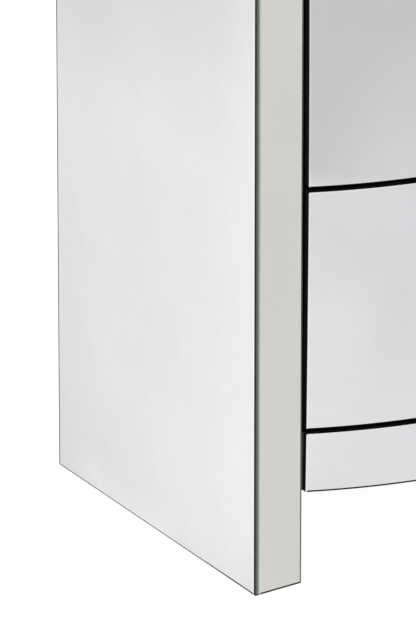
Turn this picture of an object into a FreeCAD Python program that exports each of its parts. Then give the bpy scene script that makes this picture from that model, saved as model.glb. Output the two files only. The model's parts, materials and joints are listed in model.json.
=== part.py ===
"""A mirror-clad chest of three graduated drawers with a bowed, slightly swelled front.

Two hollow slabs stand on the floor as the sides. Between them run a bowed apron, a bottom
board, two drawer rails, a back panel and a bowed top. Every outer face carries sheet mirror.

Frame: millimetres, +Z up, front facing -Y, left side at -X. The origin lies on the floor in
the middle of the chest's bounding box, knobs included.
"""
import FreeCAD, Part
import os
from FreeCAD import Placement, Rotation, Vector

doc = FreeCAD.newDocument("BowFrontChest")
sheet = doc.addObject("Spreadsheet::Sheet", "Sizes")

# Driving dimensions: name, millimetres, what it measures.
SIZES = (
    # the whole chest
    ("overall_width", 600, "outer face to outer face of the two side mirrors"),
    ("overall_height", 900, "floor to the face of the top mirror"),
    ("slab_width", 54, "one side slab, its mirror included"),
    # the bowed front
    ("bow_radius", 556, "plan radius of the front at the apron's foot and at the top"),
    ("swell", 4, "how much further the front stands out at its middle height"),
    ("leg_clearance", 97, "floor to the apron's lower edge"),
    ("apron_height", 62, "height of the apron"),
    ("joint_gap", 5.5, "open joint above and below each drawer front"),
    ("side_gap", 4.5, "open joint between a front and the side slab"),
    ("graduation", 16, "how much taller each front is than the one above it"),
    # sheet and board thicknesses
    ("glass", 5, "sheet mirror"),
    ("front_board", 18, "drawer front and apron, behind the mirror, at their top and foot"),
    ("top_board", 18, "board under the top mirror"),
    ("skin", 9, "board on each face of a side slab"),
    ("bottom_board", 16, "board under the lowest drawer"),
    ("rail_board", 16, "rail between two drawers"),
    ("back_board", 6, "back panel"),
    # framing inside the slabs and the case
    ("upright", 80, "upright batten, front to back"),
    ("batten", 40, "level batten, top to bottom"),
    ("rail_reach", 82, "stile mirror's face to the back edge of a rail"),
    ("rail_clearance", 2, "rail's front edge to the back of the drawer fronts"),
    ("cleat", 18, "square strip that holds the back panel"),
    ("block", 25, "glue block behind the apron, front to back and top to bottom"),
    ("block_length", 60, "glue block, along the apron"),
    ("block_offset", 120, "middle of the chest to an outer glue block"),
    ("dowel_radius", 4, "beech dowel"),
    ("dowel_length", 30, "beech dowel, half in each piece"),
    # feet
    ("glide_height", 1.5, "floor glide, and so the height of the slabs above the floor"),
    ("glide_radius", 12, "floor glide"),
    ("glide_inset", 35, "front or back of a slab to the middle of a glide"),
    # drawer boxes
    ("box_side", 12, "side and back of a drawer box"),
    ("box_floor", 6, "bottom panel of a drawer box"),
    ("box_rise", 14, "lower edge of a front to the underside of its box"),
    ("box_drop", 40, "upper edge of a front to the top of its box"),
    ("box_short", 7, "back of a drawer box to the back of its channels"),
    # telescopic runners
    ("runner_length", 300, "each channel"),
    ("runner_setback", 27, "stile mirror's face to the front of a channel"),
    ("runner_clearance", 1, "back of a channel to the strips that hold the back panel"),
    ("runner_height", 45, "case channel"),
    ("runner_space", 13, "slab to drawer box"),
    ("runner_rise", 70, "lower edge of a front to the middle of its runners"),
    ("runner_steel", 1.5, "sheet that the channels are folded from"),
    ("runner_play", 0.3, "between one channel and the next"),
    ("runner_flange", 10.5, "depth of a channel"),
    # screws
    ("screw_radius", 1.6, "shank of a wood screw"),
    ("screw_head", 3.2, "radius of a countersunk head"),
    ("case_screw", 16, "length of a screw through the back panel"),
    ("runner_screw", 11, "length of a screw through a channel"),
    ("screw_inset", 40, "end of a channel or panel to its first screw"),
    # knobs
    ("knob_radius", 15, "crystal"),
    ("knob_neck", 7, "radius of the crystal's two small faces"),
    ("knob_taper", 9, "depth of the crystal behind its widest band"),
    ("knob_band", 2.5, "depth of the crystal's widest band"),
    ("knob_crown", 11, "depth of the crystal in front of its widest band"),
    ("rose_radius", 11, "knob's backplate"),
    ("rose_depth", 3, "knob's backplate"),
    ("rose_play", 0.15, "flat backplate to the curved glass at the middle"),
    ("stem_radius", 6, "knob's stem"),
    ("stem_depth", 7, "knob's stem"),
    ("bolt_radius", 2, "knob's bolt"),
    ("bolt_play", 0.25, "bolt to its hole in the front and the mirror"),
    ("bolt_head_radius", 4.5, "knob's bolt"),
    ("bolt_head_depth", 3, "knob's bolt"),
    ("bolt_grip", 8, "length of bolt inside the knob's metal"),
)


# The front is a patch of a ring's tube. These are the patch's angles, in degrees: round the
# tube to each side of the middle, round the ring, and from the ring's own start to the front.
TUBE_SIDE = 75
RING_SWEEP = 20
RING_START = 270 - RING_SWEEP / 2

# Degrees that turn a drilled hole's seam away from the chest's plane of symmetry.
HOLE_TURN = 37


class Size:
    """A length written as a spreadsheet expression, so that arithmetic on it stays bound."""

    def __init__(self, text):
        self.text = text

    def __float__(self):
        return float(sheet.evalExpression(self.text))

    def __add__(self, other):
        return Size(f"({self.text} + {written(other)})")

    def __radd__(self, other):
        return Size(f"({written(other)} + {self.text})")

    def __sub__(self, other):
        return Size(f"({self.text} - {written(other)})")

    def __rsub__(self, other):
        return Size(f"({written(other)} - {self.text})")

    def __mul__(self, other):
        return Size(f"({self.text} * {written(other)})")

    def __rmul__(self, other):
        return Size(f"({written(other)} * {self.text})")

    def __truediv__(self, other):
        return Size(f"({self.text} / {written(other)})")

    def __neg__(self):
        return Size(f"(-1 * {self.text})")


def written(value):
    """The expression text of a Size or of a plain number."""
    return value.text if isinstance(value, Size) else str(value)


def square(value):
    return value * value


def root(value):
    return Size(f"sqrt({value.text})")


def size(alias):
    return Size("Sizes." + alias)


for row, (alias, millimetres, meaning) in enumerate(SIZES, start=1):
    sheet.set(f"A{row}", meaning)
    sheet.set(f"B{row}", str(millimetres))
    sheet.setAlias(f"B{row}", alias)
doc.recompute()

glass = size("glass")
skin = size("skin")
front_board = size("front_board")
joint_gap = size("joint_gap")
bow_radius = size("bow_radius")
swell = size("swell")
glide_height = size("glide_height")
runner_steel = size("runner_steel")
runner_play = size("runner_play")

# Widths, measured from the middle of the chest.
half_width = size("overall_width") / 2
case_half = half_width - glass
opening_half = half_width - size("slab_width")
front_half = opening_half - size("side_gap")
box_half = opening_half - size("runner_space")

# Heights.
case_top = size("overall_height") - glass
deck_underside = case_top - size("top_board")
apron_low = size("leg_clearance")
apron_top = apron_low + size("apron_height")
bottom_low = apron_top - size("bottom_board")
middle_front = (deck_underside - apron_top - 4 * joint_gap) / 3

# The front's surface: bowed in plan about bow_axis, swelled up its height about swell_axis.
crown_height = (apron_low + deck_underside) / 2
half_rise = (deck_underside - apron_low) / 2
swell_radius = (square(half_rise) + square(swell)) / (2 * swell)
board_back = bow_radius - glass - front_board
axis_offset = root(square(bow_radius) - square(front_half))


def reach_at(height):
    """How far the front's middle stands from the bow's axis at a height."""
    rise = height - crown_height
    return bow_radius + swell - swell_radius + root(square(swell_radius) - square(rise))


# Each drawer: name, lower edge of its front, height of its front.
fronts = []
next_low = apron_top + joint_gap
for drawer_name, step in (("lower", 1), ("middle", 0), ("upper", -1)):
    front_height = middle_front + step * size("graduation")
    fronts.append((drawer_name, next_low, front_height))
    next_low = next_low + front_height + joint_gap

# Depths. The case is as deep as its runners need, and the middle drawer's knob stands out furthest.
side_depth = (size("runner_setback") + size("runner_length") + size("runner_clearance")
              + size("cleat") + size("back_board"))
knob_reach = (size("rose_play") + size("rose_depth") + size("stem_depth")
              + size("knob_taper") + size("knob_band") + size("knob_crown"))
middle_knob_height = fronts[1][1] + fronts[1][2] / 2
front_reach = reach_at(middle_knob_height) - axis_offset + knob_reach
stile_front = (front_reach - side_depth) / 2
core_front = stile_front + glass
case_back = stile_front + side_depth
panel_front = case_back - size("back_board")
bow_axis = stile_front + axis_offset
swell_axis = bow_axis - bow_radius - swell + swell_radius
runner_front = stile_front + size("runner_setback")
runner_back = runner_front + size("runner_length")
box_back = runner_back - size("box_short")


def bow_at(radius, across):
    """Where a circle about the bow's axis lies, front to back, at a distance across."""
    return bow_axis - root(square(radius) - square(across))


# ---------------------------------------------------------------- building tools

nodes = []


def bind(thing, name, value):
    thing.setExpression(name, written(value))


def node(label, thing):
    """Names a finished piece, which is written to a file of its own."""
    thing.Label = label
    nodes.append(thing)
    return thing


def block(name, x, y, z):
    """A box between a low and a high place along each axis."""
    box = doc.addObject("Part::Box", name)
    sides = (("Length", "x", x), ("Width", "y", y), ("Height", "z", z))
    for side, letter, (low, high) in sides:
        bind(box, side, high - low)
        bind(box, "Placement.Base." + letter, low)
    return box


def place(thing, start, direction, turn=0):
    """Points a turned shape along a direction from its starting place, turned about itself."""
    upright = Vector(0, 0, 1)
    pointing = Rotation(upright, Vector(*direction)) * Rotation(upright, turn)
    thing.Placement = Placement(Vector(), pointing)
    for letter, value in zip("xyz", start):
        bind(thing, "Placement.Base." + letter, value)
    return thing


def rod(name, radius, length, start, direction=(0, 0, 1), turn=0):
    cylinder = doc.addObject("Part::Cylinder", name)
    bind(cylinder, "Radius", radius)
    bind(cylinder, "Height", length)
    return place(cylinder, start, direction, turn)


def taper(name, first_radius, last_radius, length, start, direction=(0, 0, 1)):
    cone = doc.addObject("Part::Cone", name)
    bind(cone, "Radius1", first_radius)
    bind(cone, "Radius2", last_radius)
    bind(cone, "Height", length)
    return place(cone, start, direction)


def common(name, base, tool):
    result = doc.addObject("Part::Common", name)
    result.Base = base
    result.Tool = tool
    return result


def fuse(name, shapes):
    result = doc.addObject("Part::MultiFuse", name)
    result.Shapes = shapes
    return result


def group(name, shapes):
    result = doc.addObject("Part::Compound", name)
    result.Links = shapes
    return result


def cut(base, *tools):
    """Takes each tool away from the base in turn."""
    for tool in tools:
        result = doc.addObject("Part::Cut", base.Name + "_cut")
        result.Base = base
        result.Tool = tool
        base = result
    return base


def outward(side, inner, outer):
    """The low and high x of a stretch that runs outwards on one side of the chest."""
    return (inner, outer) if side > 0 else (-outer, -inner)


def screw(name, head_radius, head_depth, length, start, direction):
    """A countersunk screw whose head is flush with its starting face."""
    head = taper(name + "_head", head_radius, size("screw_radius"), head_depth, start, direction)
    shank = rod(name + "_shank", size("screw_radius"), length, start, direction)
    return fuse(name, [head, shank])


def swelled_front(name, inset):
    """What lies just behind the bowed and swelled front, set in from the front's surface.

    It is a patch of a very large ring that stands on edge behind the chest: the tube's
    radius gives the bow in plan and the ring's radius gives the swell up the front.
    """
    ring = doc.addObject("Part::Torus", name)
    bind(ring, "Radius1", swell_radius - bow_radius)
    bind(ring, "Radius2", bow_radius - inset)
    ring.Angle1 = -TUBE_SIDE
    ring.Angle2 = TUBE_SIDE
    ring.Angle3 = RING_SWEEP
    return place(ring, (Size("0"), swell_axis, crown_height), (1, 0, 0), RING_START)


def behind_front(name, radius):
    """Everything inside a circle about the bow's axis, which trims what meets the fronts."""
    return rod(name, radius, size("overall_height"), (Size("0"), bow_axis, Size("0")))


inside_fronts = behind_front("inside_fronts", board_back)
inside_rails = behind_front("inside_rails", board_back - size("rail_clearance"))
inside_mirror = behind_front("inside_mirror", bow_radius - glass)
inside_bow = behind_front("inside_bow", bow_radius)
swelled_mirror = swelled_front("swelled_mirror", Size("0"))
swelled_board = swelled_front("swelled_board", glass)
bow_front = bow_axis - bow_radius - swell


def bowed_mirror(name, low, high, half):
    """Sheet mirror that follows the front, cut straight at its sides."""
    blank = block(name + "_blank", (-half, half), (bow_front, bow_axis), (low, high))
    return cut(common(name + "_bow", blank, swelled_mirror), swelled_board)


def bowed_board(name, low, high, half):
    """A board behind the mirror, swelled on its face and upright on its back."""
    blank = block(name + "_blank", (-half, half), (bow_front, bow_axis), (low, high))
    return cut(common(name + "_bow", blank, swelled_board), inside_fronts)


# ---------------------------------------------------------------- dowels and screws of the case

runner_heights = [low + size("runner_rise") for _, low, _ in fronts]
rail_heights = [low - joint_gap / 2 for _, low, _ in fronts[1:]]
bottom_middle = apron_top - size("bottom_board") / 2
apron_middle = (apron_low + bottom_low) / 2
apron_depth = (bow_at(bow_radius - glass, opening_half) + bow_at(board_back, opening_half)) / 2
dowel_radius = size("dowel_radius")
dowel_half = size("dowel_length") / 2
rail_dowels = [stile_front + size("rail_reach") - step * dowel_radius for step in (3, 9)]
board_dowels = [core_front + size("upright") / 2, panel_front - size("upright") / 2]
slab_middle = (opening_half + case_half) / 2

level_dowels = [(apron_middle, apron_depth)]
level_dowels += [(height, depth) for height in rail_heights for depth in rail_dowels]
level_dowels += [(bottom_middle, depth) for depth in board_dowels]
dowels = []
for side in (-1, 1):
    joint = side * (opening_half - dowel_half)
    for height, depth in level_dowels:
        dowels.append(rod("level_dowel", dowel_radius, size("dowel_length"),
                          (joint, depth, height), (side, 0, 0)))
    for depth in board_dowels:
        foot = deck_underside - (size("dowel_length") - size("top_board") / 2)
        dowels.append(rod("upright_dowel", dowel_radius, size("dowel_length"),
                          (side * slab_middle, depth, foot)))
carcass_dowels = node("carcass_dowels", group("dowel_set", dowels))

screw_inset = size("screw_inset")
cleat_middle = opening_half - size("cleat") / 2
panel_screws = []
panel_heights = [bottom_middle + (deck_underside - screw_inset - bottom_middle) * step / 3
                 for step in range(4)]
for side in (-1, 1):
    for height in panel_heights:
        panel_screws.append(screw("panel_screw", size("screw_head"), size("back_board") / 2,
                                  size("case_screw"), (side * cleat_middle, case_back, height),
                                  (0, -1, 0)))
panel_screws.append(screw("panel_screw", size("screw_head"), size("back_board") / 2,
                          size("case_screw"), (Size("0"), case_back, bottom_middle), (0, -1, 0)))
back_panel_screws = node("back_panel_screws", group("panel_screw_set", panel_screws))

runner_screw_places = [runner_front + screw_inset, runner_back - screw_inset]
case_runner_screws = []
for side in (-1, 1):
    for height in runner_heights:
        for depth in runner_screw_places:
            face = side * (opening_half - runner_steel)
            case_runner_screws.append(screw("case_runner_screw", size("screw_head"), runner_steel,
                                            size("runner_screw"), (face, depth, height),
                                            (side, 0, 0)))
case_runner_screw_set = node("case_runner_screws", group("case_runner_screw_set",
                                                         case_runner_screws))

# ---------------------------------------------------------------- side slabs


def side_slab(name, side):
    """A hollow slab: two skins on a frame of battens, mirror on its outer and front faces."""
    depth = (core_front, case_back)
    height = (glide_height, deck_underside)
    node(name + "_side_outer_skin",
         block(name + "_outer_skin", outward(side, case_half - skin, case_half), depth, height))
    inner_skin = block(name + "_inner_skin", outward(side, opening_half, opening_half + skin),
                       depth, height)
    node(name + "_side_inner_skin", cut(inner_skin, carcass_dowels, case_runner_screw_set))

    core = outward(side, opening_half + skin, case_half - skin)
    upright = size("upright")
    batten = size("batten")
    strips = [block(name + "_front_upright", core, (core_front, core_front + upright), height),
              block(name + "_back_upright", core, (case_back - upright, case_back), height)]
    lows = [glide_height, bottom_middle - batten / 2, deck_underside - batten]
    lows += [middle - batten / 2 for middle in runner_heights]
    for low in lows:
        strips.append(block(name + "_level_batten", core,
                            (core_front + upright, case_back - upright), (low, low + batten)))
    battens = group(name + "_batten_set", strips)
    node(name + "_side_battens", cut(battens, carcass_dowels, case_runner_screw_set))

    glass_height = (glide_height, case_top)
    node(name + "_side_mirror",
         block(name + "_side_glass", outward(side, case_half, half_width),
               (stile_front, case_back), glass_height))
    node(name + "_stile_mirror",
         block(name + "_stile_glass", outward(side, opening_half, case_half),
               (stile_front, core_front), glass_height))


side_slab("left", -1)
side_slab("right", 1)

glides = []
for side in (-1, 1):
    for depth in (stile_front + size("glide_inset"), case_back - size("glide_inset")):
        glides.append(rod("glide", size("glide_radius"), glide_height,
                          (side * slab_middle, depth, Size("0"))))
node("floor_glides", group("glide_set", glides))

# ---------------------------------------------------------------- top

opening = (-opening_half, opening_half)
deck_height = (deck_underside, case_top)
edge_blank = common("top_edge_blank",
                    block("top_edge_strip", opening, (bow_front, stile_front + 2 * glass),
                          deck_height),
                    inside_bow)
top_edge_mirror = node("top_edge_mirror", cut(edge_blank, inside_mirror))
deck_bow = common("deck_bow", block("deck_middle", opening, (bow_front, case_back), deck_height),
                  inside_mirror)
deck_slab = block("deck_slab", (-case_half, case_half), (core_front, case_back), deck_height)
node("top_board", cut(fuse("deck", [deck_slab, deck_bow]), top_edge_mirror, carcass_dowels))

lid_height = (case_top, size("overall_height"))
lid_bow = common("lid_bow", block("lid_middle", opening, (bow_front, case_back), lid_height),
                 inside_bow)
lid_slab = block("lid_slab", (-half_width, half_width), (stile_front, case_back), lid_height)
lid = fuse("lid", [lid_slab, lid_bow])
lid.Refine = True
node("top_mirror", lid)

# ---------------------------------------------------------------- apron, bottom, rails, back

apron = bowed_board("apron_core", apron_low, apron_top, opening_half)
node("apron_board", cut(apron, carcass_dowels))
node("apron_mirror", bowed_mirror("apron_glass", apron_low, apron_top, front_half))

floor_blank = block("floor_blank", opening, (bow_front, panel_front), (bottom_low, apron_top))
node("bottom_board", cut(common("case_floor", floor_blank, inside_fronts),
                         carcass_dowels, back_panel_screws))

glue_blocks = []
for step in (-1, 0, 1):
    middle = step * size("block_offset")
    reach = bow_at(board_back, middle) + size("block")
    blank = block("glue_block_blank",
                  (middle - size("block_length") / 2, middle + size("block_length") / 2),
                  (bow_front, reach), (bottom_low - size("block"), bottom_low))
    glue_blocks.append(common("glue_block", blank, inside_fronts))
node("apron_glue_blocks", group("glue_block_set", glue_blocks))

for rail_name, height in zip(("lower_rail", "upper_rail"), rail_heights):
    half_board = size("rail_board") / 2
    blank = block(rail_name + "_blank", opening,
                  (bow_front, stile_front + size("rail_reach")),
                  (height - half_board, height + half_board))
    node(rail_name, cut(common(rail_name + "_bow", blank, inside_rails), carcass_dowels))

panel = block("back_panel_blank", opening, (panel_front, case_back), (bottom_low, deck_underside))
node("back_panel", cut(panel, back_panel_screws))
cleats = [block("back_cleat", outward(side, opening_half - size("cleat"), opening_half),
                (panel_front - size("cleat"), panel_front), (apron_top, deck_underside))
          for side in (-1, 1)]
node("back_cleats", cut(group("cleat_set", cleats), back_panel_screws))

# ---------------------------------------------------------------- runners


def channel(name, side, web, tips, height, middle):
    """A folded steel channel. Its web is at one end of its depth and its flanges end at tips.

    web and tips are distances from the middle of the chest, and the hollow between the
    flanges is open at the tips.
    """
    low, high = middle - height / 2, middle + height / 2
    length = (runner_front, runner_back)
    if float(web) > float(tips):
        outer, hollow = (tips, web), (tips - runner_steel, web - runner_steel)
    else:
        outer, hollow = (web, tips), (web + runner_steel, tips + runner_steel)
    bar = block(name + "_bar", outward(side, *outer), length, (low, high))
    groove = block(name + "_groove", outward(side, *hollow),
                   (runner_front - runner_steel, runner_back + runner_steel),
                   (low + runner_steel, high - runner_steel))
    return cut(bar, groove)


step_in = 2 * (runner_steel + runner_play)
case_channel_height = size("runner_height")
intermediate_channel_height = case_channel_height - step_in
drawer_channel_height = intermediate_channel_height - step_in
case_channel_tips = opening_half - size("runner_flange")
intermediate_channel_web = opening_half - runner_steel - runner_play
intermediate_channel_tips = box_half + runner_steel + runner_play
drawer_channel_tips = intermediate_channel_web - runner_steel - runner_play

case_channels = []
for height in runner_heights:
    for side in (-1, 1):
        case_channels.append(channel("case_channel", side, opening_half, case_channel_tips,
                                     case_channel_height, height))
node("case_runner_channels", cut(group("case_channel_set", case_channels),
                                 case_runner_screw_set))

# ---------------------------------------------------------------- drawers


def drawer(name, low, height):
    """A bowed, mirrored front on a box, with a crystal knob and one pair of runners."""
    high = low + height
    box_low = low + size("box_rise")
    floor_top = box_low + size("box_floor")
    side_top = high - size("box_drop")
    runner_middle = low + size("runner_rise")
    knob_height = low + height / 2
    centre = Size("0")

    bolt_seat = bow_at(board_back, size("bolt_head_radius"))
    rose_seat = bow_axis - reach_at(knob_height) - size("rose_play")
    bolt_length = bolt_seat - rose_seat + size("bolt_grip")
    bolt_place = (centre, bolt_seat, knob_height)
    shank = rod(name + "_bolt_shank", size("bolt_radius"), bolt_length, bolt_place, (0, -1, 0))
    hole = rod(name + "_bolt_hole", size("bolt_radius") + size("bolt_play"), bolt_length,
               bolt_place, (0, -1, 0), HOLE_TURN)
    bolt = fuse(name + "_bolt", [
        rod(name + "_bolt_head", size("bolt_head_radius"), size("bolt_head_depth"),
            bolt_place, (0, 1, 0)),
        shank,
    ])
    side_screws = []
    for side in (-1, 1):
        for depth in runner_screw_places:
            side_screws.append(screw(name + "_runner_screw", size("screw_head"), runner_steel,
                                     size("runner_screw"),
                                     (side * (box_half + runner_steel), depth, runner_middle),
                                     (-side, 0, 0)))
    screws = node(name + "_drawer_screws", group(name + "_screw_set", [bolt] + side_screws))

    board = bowed_board(name + "_drawer_board", low, high, front_half)
    node(name + "_drawer_front", cut(board, hole))
    mirror = bowed_mirror(name + "_drawer_glass", low, high, front_half)
    node(name + "_drawer_mirror", cut(mirror, hole))

    for side_name, side in (("left", -1), ("right", 1)):
        blank = block(f"{name}_{side_name}_side_blank",
                      outward(side, box_half - size("box_side"), box_half),
                      (bow_front, box_back), (floor_top, side_top))
        shaped = common(f"{name}_{side_name}_side", blank, inside_fronts)
        node(f"{name}_drawer_{side_name}_side", cut(shaped, screws))
    inner_half = box_half - size("box_side")
    node(name + "_drawer_back",
         block(name + "_back_blank", (-inner_half, inner_half),
               (box_back - size("box_side"), box_back), (floor_top, side_top)))
    floor_blank = block(name + "_floor_blank", (-box_half, box_half), (bow_front, box_back),
                        (box_low, floor_top))
    node(name + "_drawer_bottom", common(name + "_floor", floor_blank, inside_fronts))

    forward = (0, -1, 0)
    stem_face = rose_seat - size("rose_depth")
    crystal_back = stem_face - size("stem_depth")
    band_back = crystal_back - size("knob_taper")
    band_front = band_back - size("knob_band")
    base = fuse(name + "_base", [
        rod(name + "_rose", size("rose_radius"), size("rose_depth"),
            (centre, rose_seat, knob_height), forward),
        rod(name + "_stem", size("stem_radius"), size("stem_depth"),
            (centre, stem_face, knob_height), forward),
    ])
    node(name + "_knob_base", cut(base, shank))
    node(name + "_knob_crystal", fuse(name + "_crystal", [
        taper(name + "_crystal_back", size("knob_neck"), size("knob_radius"), size("knob_taper"),
              (centre, crystal_back, knob_height), forward),
        rod(name + "_crystal_band", size("knob_radius"), size("knob_band"),
            (centre, band_back, knob_height), forward),
        taper(name + "_crystal_crown", size("knob_radius"), size("knob_neck"),
              size("knob_crown"), (centre, band_front, knob_height), forward),
    ]))

    inner_channels = []
    intermediate_channels = []
    for side in (-1, 1):
        inner_channels.append(channel(name + "_drawer_channel", side, box_half,
                                      drawer_channel_tips, drawer_channel_height, runner_middle))
        intermediate_channels.append(channel(name + "_intermediate_channel", side,
                                             intermediate_channel_web, intermediate_channel_tips,
                                             intermediate_channel_height, runner_middle))
    node(name + "_drawer_channels",
         cut(group(name + "_drawer_channel_set", inner_channels), screws))
    node(name + "_intermediate_channels",
         group(name + "_intermediate_channel_set", intermediate_channels))


for drawer_name, front_low, front_height in fronts:
    drawer(drawer_name, front_low, front_height)

# ---------------------------------------------------------------- check and write

doc.recompute()
failed = [thing.Name for thing in doc.Objects if {"Invalid", "Error"} & set(thing.State)]
if failed:
    raise RuntimeError(f"not rebuilt: {failed}")
for thing in nodes:
    if thing.Shape.isNull() or not thing.Shape.isValid() or not thing.Shape.Solids:
        raise RuntimeError(f"no valid solid in {thing.Label}")

os.makedirs("parts", exist_ok=True)
for thing in nodes:
    thing.Shape.exportStep(os.path.join("parts", thing.Label + ".step"))
print(len(nodes), "nodes,", sum(len(thing.Shape.Solids) for thing in nodes), "solids")
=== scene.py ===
"""Looks of a mirror-clad chest of three drawers with a bowed, slightly swelled front.

Metres, +Z up, the front facing -Y. The mirrors, bowed boards, screws and knobs are modelled
here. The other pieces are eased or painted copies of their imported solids, and the dowels show
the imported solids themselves.
"""
import json
import math

import bmesh
import bpy
from mathutils import Matrix, Vector


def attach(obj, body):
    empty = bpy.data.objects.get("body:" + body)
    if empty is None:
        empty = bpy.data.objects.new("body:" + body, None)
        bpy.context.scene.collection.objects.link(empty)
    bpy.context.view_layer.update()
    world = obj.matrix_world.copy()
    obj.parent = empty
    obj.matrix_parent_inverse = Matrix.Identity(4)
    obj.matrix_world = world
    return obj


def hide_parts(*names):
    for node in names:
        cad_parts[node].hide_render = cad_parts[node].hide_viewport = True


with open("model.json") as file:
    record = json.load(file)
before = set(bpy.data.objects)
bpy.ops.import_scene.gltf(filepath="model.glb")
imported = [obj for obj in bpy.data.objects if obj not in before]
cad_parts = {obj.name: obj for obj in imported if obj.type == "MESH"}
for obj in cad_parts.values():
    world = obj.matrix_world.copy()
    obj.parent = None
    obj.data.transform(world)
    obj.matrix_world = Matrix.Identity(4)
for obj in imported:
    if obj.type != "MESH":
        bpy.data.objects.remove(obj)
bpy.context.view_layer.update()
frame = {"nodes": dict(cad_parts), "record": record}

# ---------------------------------------------------------------- sizes

MM = 0.001
# Points nearer than CLOSE are in one place, and a step or depth of UNSEEN doesn't show.
CLOSE = 0.01 * MM
UNSEEN = 0.05 * MM
# Cosines to an axis above which a face looks along it, and under which it looks across it.
ALONG = 0.99
ACROSS = 0.01
X, Y, Z = range(3)

GLASS = 5 * MM
BOARD = 18 * MM
SLAB = 54 * MM
SIDE_GAP = 4.5 * MM
RUNNER_SPACE = 13 * MM
HALF_WIDTH = 300 * MM
CASE_HALF = HALF_WIDTH - GLASS
OPENING_HALF = HALF_WIDTH - SLAB
FRONT_HALF = OPENING_HALF - SIDE_GAP
BOX_HALF = OPENING_HALF - RUNNER_SPACE

TOP = 900 * MM
CASE_TOP = TOP - GLASS
DECK_UNDERSIDE = CASE_TOP - BOARD
SLAB_FOOT = 1.5 * MM
APRON = (97 * MM, 159 * MM)
JOINT = 5.5 * MM
FRONT_HEIGHTS = (("lower", 248 * MM), ("middle", 232 * MM), ("upper", 216 * MM))

SIDE_DEPTH = 352 * MM
BOW = 556 * MM
SWELL = 4 * MM

# A knob's steps out from the glass: play under its rose, its metal, and its crystal.
ROSE_PLAY = 0.15 * MM
CRYSTAL_SEAT = 10 * MM
CRYSTAL_LENGTH = 22.5 * MM
KNOB_REACH = ROSE_PLAY + CRYSTAL_SEAT + CRYSTAL_LENGTH

RUNNER_LENGTH = 300 * MM
RUNNER_SETBACK = 27 * MM

CROWN = (APRON[0] + DECK_UNDERSIDE) / 2
HALF_RISE = (DECK_UNDERSIDE - APRON[0]) / 2
SWELL_RADIUS = (HALF_RISE ** 2 + SWELL ** 2) / (2 * SWELL)
GLASS_BACK = BOW - GLASS
BOARD_BACK = GLASS_BACK - BOARD
AXIS_OFFSET = math.sqrt(BOW ** 2 - FRONT_HALF ** 2)

DRAWERS = {}
next_low = APRON[1] + JOINT
for drawer_name, height in FRONT_HEIGHTS:
    DRAWERS[drawer_name] = (next_low, next_low + height)
    next_low += height + JOINT

# Ground arrises of the sheets of glass.
SIDE_ARRIS = 1.3 * MM
FRONT_ARRIS = 0.5 * MM
FINE_ARRIS = 0.3 * MM
TOP_ARRIS = 0.6 * MM
TOP_EDGE_ARRIS = 0.4 * MM

# Widths of the painted shade lines along the sheets' feet, and of the painted highlight along
# their margins.
FOOT_SHADE_LINE = 1.6 * MM
APRON_FOOT_SHADE_LINE = 1.5 * MM
DRAWER_FOOT_SHADE_LINE = 0.4 * MM
LIGHT_LINE = 0.8 * MM

# Eased edges of boards, boxes and glides.
BOARD_EASE = 0.5 * MM
FRONT_EASE = 0.6 * MM
BLOCK_EASE = 0.8 * MM
CLEAT_EASE = 0.6 * MM
PANEL_EASE = 0.4 * MM
BOX_EASE = 0.7 * MM
GLIDE_EASE = 0.6 * MM


def reach_at(z):
    """How far the front's middle stands from the bow's axis at a height."""
    return BOW + SWELL - SWELL_RADIUS + math.sqrt(SWELL_RADIUS ** 2 - (z - CROWN) ** 2)


# From the tip of the middle knob to the back of the side mirrors, the chest is centred on Y.
BOW_REACH = reach_at(sum(DRAWERS["middle"]) / 2) - AXIS_OFFSET
STILE_FRONT = (BOW_REACH + KNOB_REACH - SIDE_DEPTH) / 2
CASE_BACK = STILE_FRONT + SIDE_DEPTH
BOW_AXIS = STILE_FRONT + AXIS_OFFSET
SWELL_AXIS = BOW_AXIS - BOW - SWELL + SWELL_RADIUS


def bow_y(x, radius):
    """Front to back place of an upright circle about the bow's axis."""
    return BOW_AXIS - math.sqrt(radius ** 2 - x ** 2)


def front_y(x, z, inset=0.0):
    """Front to back place of the bowed and swelled front, set in by a thickness."""
    ring = SWELL_RADIUS - BOW + math.sqrt((BOW - inset) ** 2 - x ** 2)
    return SWELL_AXIS - math.sqrt(ring ** 2 - (z - CROWN) ** 2)


# ---------------------------------------------------------------- shader arithmetic


class Value:
    """A node's output. An expression on values adds the Math nodes that work it out."""

    def __init__(self, finish, socket):
        self.finish = finish
        self.socket = socket

    def maths(self, operation, first, second=0.0):
        return self.finish.add("ShaderNodeMath", {"operation": operation}, {0: first, 1: second})

    def __add__(self, other):
        return self.maths("ADD", self, other)

    __radd__ = __add__

    def __sub__(self, other):
        return self.maths("SUBTRACT", self, other)

    def __rsub__(self, other):
        return self.maths("SUBTRACT", other, self)

    def __mul__(self, other):
        return self.maths("MULTIPLY", self, other)

    __rmul__ = __mul__

    def __truediv__(self, other):
        return self.maths("DIVIDE", self, other)

    def __neg__(self):
        return self.maths("MULTIPLY", self, -1.0)

    def __abs__(self):
        return self.maths("ABSOLUTE", self)

    def root(self):
        return self.maths("SQRT", self)

    def at_least(self, other):
        return self.maths("MAXIMUM", self, other)

    def at_most(self, other):
        return self.maths("MINIMUM", self, other)

    def ramp(self, low, high):
        """0 at low, 1 at high, eased between."""
        return self.finish.add("ShaderNodeMapRange", {"interpolation_type": "SMOOTHSTEP"},
                               {"Value": self, "From Min": low, "From Max": high})


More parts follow.
